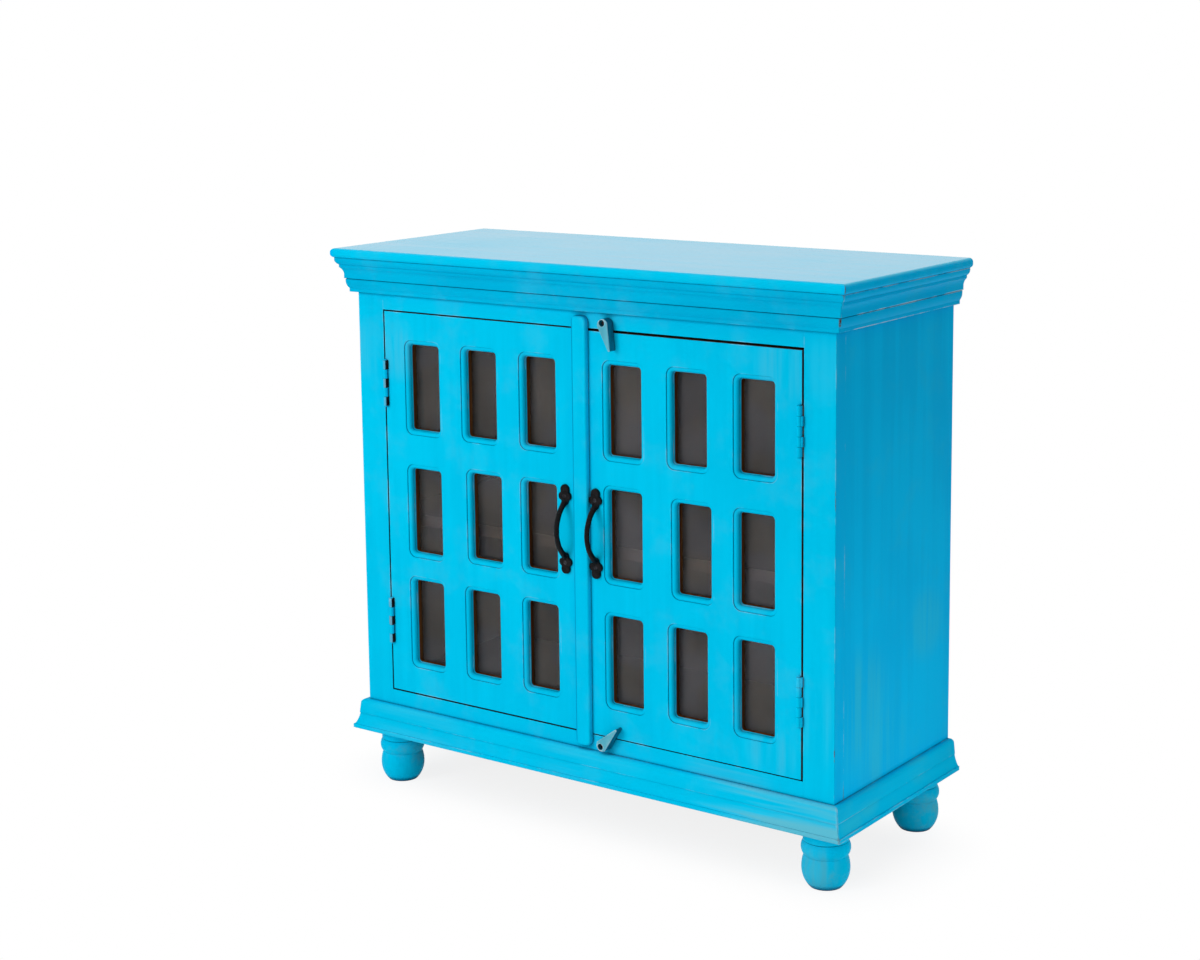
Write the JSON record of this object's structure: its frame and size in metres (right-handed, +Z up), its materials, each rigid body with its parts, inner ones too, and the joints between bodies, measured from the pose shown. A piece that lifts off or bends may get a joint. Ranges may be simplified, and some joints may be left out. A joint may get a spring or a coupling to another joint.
{
  "type": "glazed cabinet",
  "caption": "Painted floor cabinet on turned feet, with hinged doors of small glazed windows, a moulded overhanging top, iron pulls and wooden turn buttons.",
  "frame": {"origin": "on the floor, under the middle of the top panel", "axes": "+X to the right seen from the front, +Y to the back, +Z up; the doors face -Y"},
  "size_m": [0.91, 0.37, 0.857],
  "materials": {
    "blue_painted_wood": "worn satin paint",
    "teal_painted_wood": "worn matt paint",
    "stained_wood": "dull stain",
    "black_iron": "wrought, satin black",
    "hinge_metal": "tarnished, painted over at the front",
    "screw_steel": "dull",
    "window_glass": "clear"
  },
  "bodies": {
    "carcass": {"back_panel": "stained_wood", "base_moulding_front": "blue_painted_wood", "base_moulding_left": "blue_painted_wood", "base_moulding_right": "blue_painted_wood", "bottom_panel": "stained_wood", "cornice_front": "blue_painted_wood", "cornice_left": "blue_painted_wood", "cornice_right": "blue_painted_wood", "face_rail_bottom": "blue_painted_wood", "face_rail_top": "blue_painted_wood", "face_stile_left": "blue_painted_wood", "face_stile_right": "blue_painted_wood", "foot_back_left": "blue_painted_wood", "foot_back_right": "blue_painted_wood", "foot_block_back_left": "stained_wood", "foot_block_back_right": "stained_wood", "foot_block_front_left": "stained_wood", "foot_block_front_right": "stained_wood", "foot_front_left": "blue_painted_wood", "foot_front_right": "blue_painted_wood", "hinge_frame_leaf_left_lower": "hinge_metal", "hinge_frame_leaf_left_upper": "hinge_metal", "hinge_frame_leaf_right_lower": "hinge_metal", "hinge_frame_leaf_right_upper": "hinge_metal", "hinge_pins": "hinge_metal", "hinge_screws_frame": "screw_steel", "shelf": "stained_wood", "shelf_cleat_left": "stained_wood", "shelf_cleat_right": "stained_wood", "side_panel_left": "blue_painted_wood", "side_panel_right": "blue_painted_wood", "top_panel": "blue_painted_wood", "turn_button_screws": "screw_steel"},
    "door_left": {"door_panel_left": "blue_painted_wood", "glass_left": "window_glass", "pull_left": "black_iron", "pull_screws_left": "screw_steel", "hinge_screws_left_door": "screw_steel", "glazing_bead_left_top": "stained_wood", "glazing_bead_left_bottom": "stained_wood", "glazing_bead_left_left": "stained_wood", "glazing_bead_left_right": "stained_wood", "hinge_door_leaf_left_upper": "hinge_metal", "hinge_door_leaf_left_lower": "hinge_metal"},
    "door_right": {"door_panel_right": "blue_painted_wood", "glass_right": "window_glass", "pull_right": "black_iron", "pull_screws_right": "screw_steel", "hinge_screws_right_door": "screw_steel", "glazing_bead_right_top": "stained_wood", "glazing_bead_right_bottom": "stained_wood", "glazing_bead_right_left": "stained_wood", "glazing_bead_right_right": "stained_wood", "hinge_door_leaf_right_upper": "hinge_metal", "hinge_door_leaf_right_lower": "hinge_metal", "meeting_strip": "blue_painted_wood"},
    "button_top": {"turn_button_top": "teal_painted_wood"},
    "button_bottom": {"turn_button_bottom": "teal_painted_wood"}
  },
  "joints": [
    {"name": "left_door_hinge", "type": "hinge", "parent": "carcass", "child": "door_left", "pos_m": [-0.3704, -0.159, 0.461], "axis": [0, 0, -1], "range_deg": [0, 170]},
    {"name": "right_door_hinge", "type": "hinge", "parent": "carcass", "child": "door_right", "pos_m": [0.3704, -0.159, 0.461], "axis": [0, 0, 1], "range_deg": [0, 170]},
    {"name": "top_button_pivot", "type": "hinge", "parent": "carcass", "child": "button_top", "pos_m": [0.051, -0.1559, 0.775], "axis": [0, -1, 0], "range_deg": [-17, 78]},
    {"name": "bottom_button_pivot", "type": "hinge", "parent": "carcass", "child": "button_bottom", "pos_m": [0.04, -0.1559, 0.147], "axis": [0, 1, 0], "range_deg": [-43, 52]}
  ]
}
